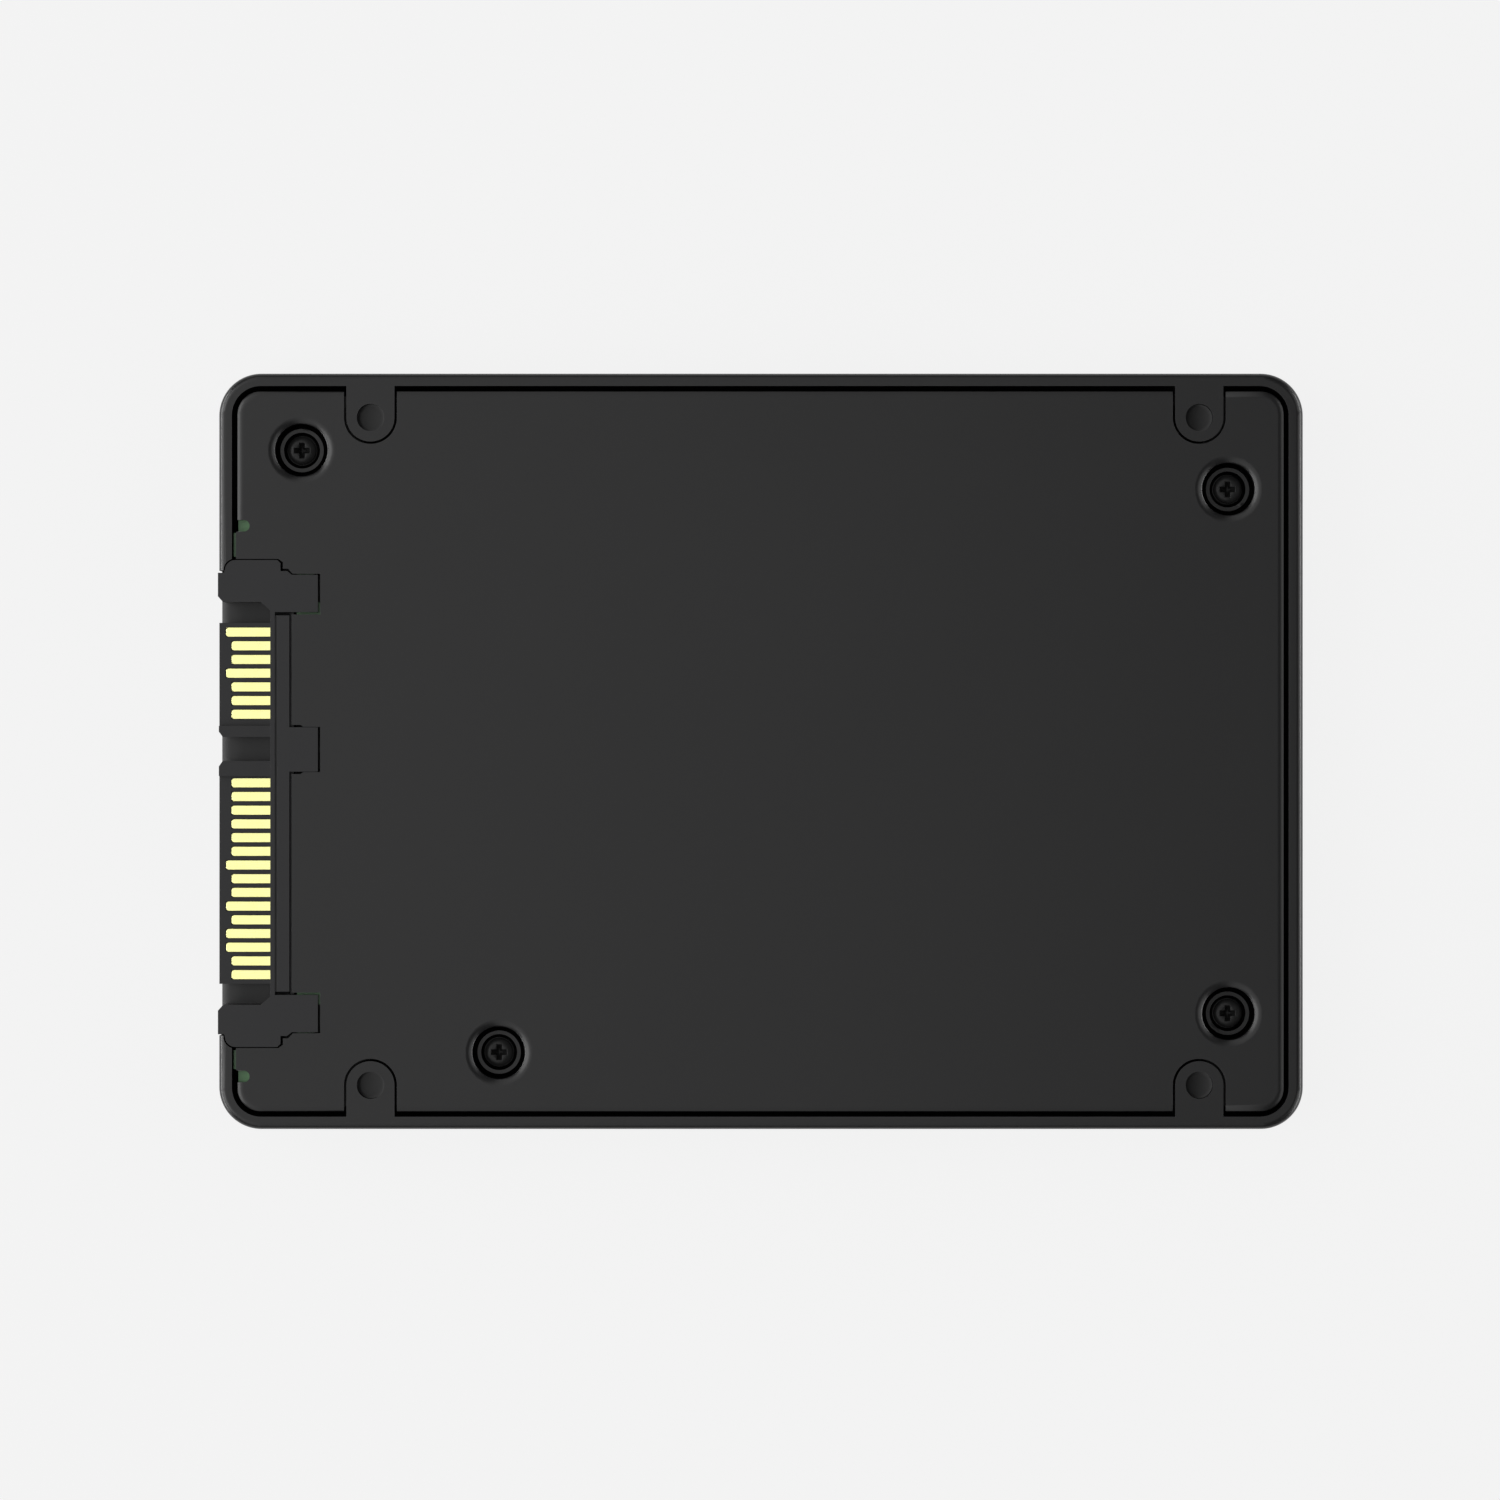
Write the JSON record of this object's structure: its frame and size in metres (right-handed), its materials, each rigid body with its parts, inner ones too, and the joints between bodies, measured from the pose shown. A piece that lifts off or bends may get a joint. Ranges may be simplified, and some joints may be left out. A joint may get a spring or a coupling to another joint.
{
  "type": "solid state drive",
  "caption": "Slim 2.5-inch solid state drive: black metal case with screwed cover, threaded mounting tabs and an L-keyed data and power edge connector.",
  "frame": {"origin": "bottom centre of the bounding box: centre of the label face, which lies on z = 0", "axes": "+Z out of the screwed bottom cover, so the label face points down; -X out of the connector end; +Y towards the signal end of the connector"},
  "size_m": [0.1002, 0.0698, 0.007],
  "materials": {
    "shell": "fine matt black powder coat on cast aluminium",
    "screw": "black oxide steel",
    "plug": "moulded black glass-filled plastic",
    "gold": "pale gold plating",
    "board": "green solder mask on glass epoxy",
    "package": "moulded black epoxy",
    "ferrite": "matt grey ferrite",
    "ceramic": "fired ceramic",
    "tin": "tin plate",
    "pad": "soft grey silicone",
    "label": "blank satin polyester film"
  },
  "bodies": {
    "root": {"top_housing": "shell", "bottom_cover": "shell", "cover_screw_1": "screw", "cover_screw_2": "screw", "cover_screw_3": "screw", "cover_screw_4": "screw", "face_label": "label", "circuit_board": "board", "connector_housing": "plug", "signal_contact_1": "gold", "signal_contact_2": "gold", "signal_contact_3": "gold", "signal_contact_4": "gold", "signal_contact_5": "gold", "signal_contact_6": "gold", "signal_contact_7": "gold", "power_contact_1": "gold", "power_contact_2": "gold", "power_contact_3": "gold", "power_contact_4": "gold", "power_contact_5": "gold", "power_contact_6": "gold", "power_contact_7": "gold", "power_contact_8": "gold", "power_contact_9": "gold", "power_contact_10": "gold", "power_contact_11": "gold", "power_contact_12": "gold", "power_contact_13": "gold", "power_contact_14": "gold", "power_contact_15": "gold", "board_lock_signal_side": "tin", "board_lock_power_side": "tin", "controller_chip": "package", "dram_chip": "package", "firmware_flash_chip": "package", "power_management_chip": "package", "load_switch_chip": "package", "crystal_oscillator": "tin", "flash_memory_chip_1": "package", "flash_memory_chip_2": "package", "flash_memory_chip_3": "package", "flash_memory_chip_4": "package", "power_inductor_1": "ferrite", "power_inductor_2": "ferrite", "power_inductor_3": "ferrite", "capacitor_1": "ceramic", "capacitor_2": "ceramic", "capacitor_3": "ceramic", "capacitor_4": "ceramic", "capacitor_5": "ceramic", "capacitor_6": "ceramic", "capacitor_7": "ceramic", "capacitor_8": "ceramic", "controller_thermal_pad": "pad", "flash_thermal_pad": "pad"}
  },
  "joints": []
}
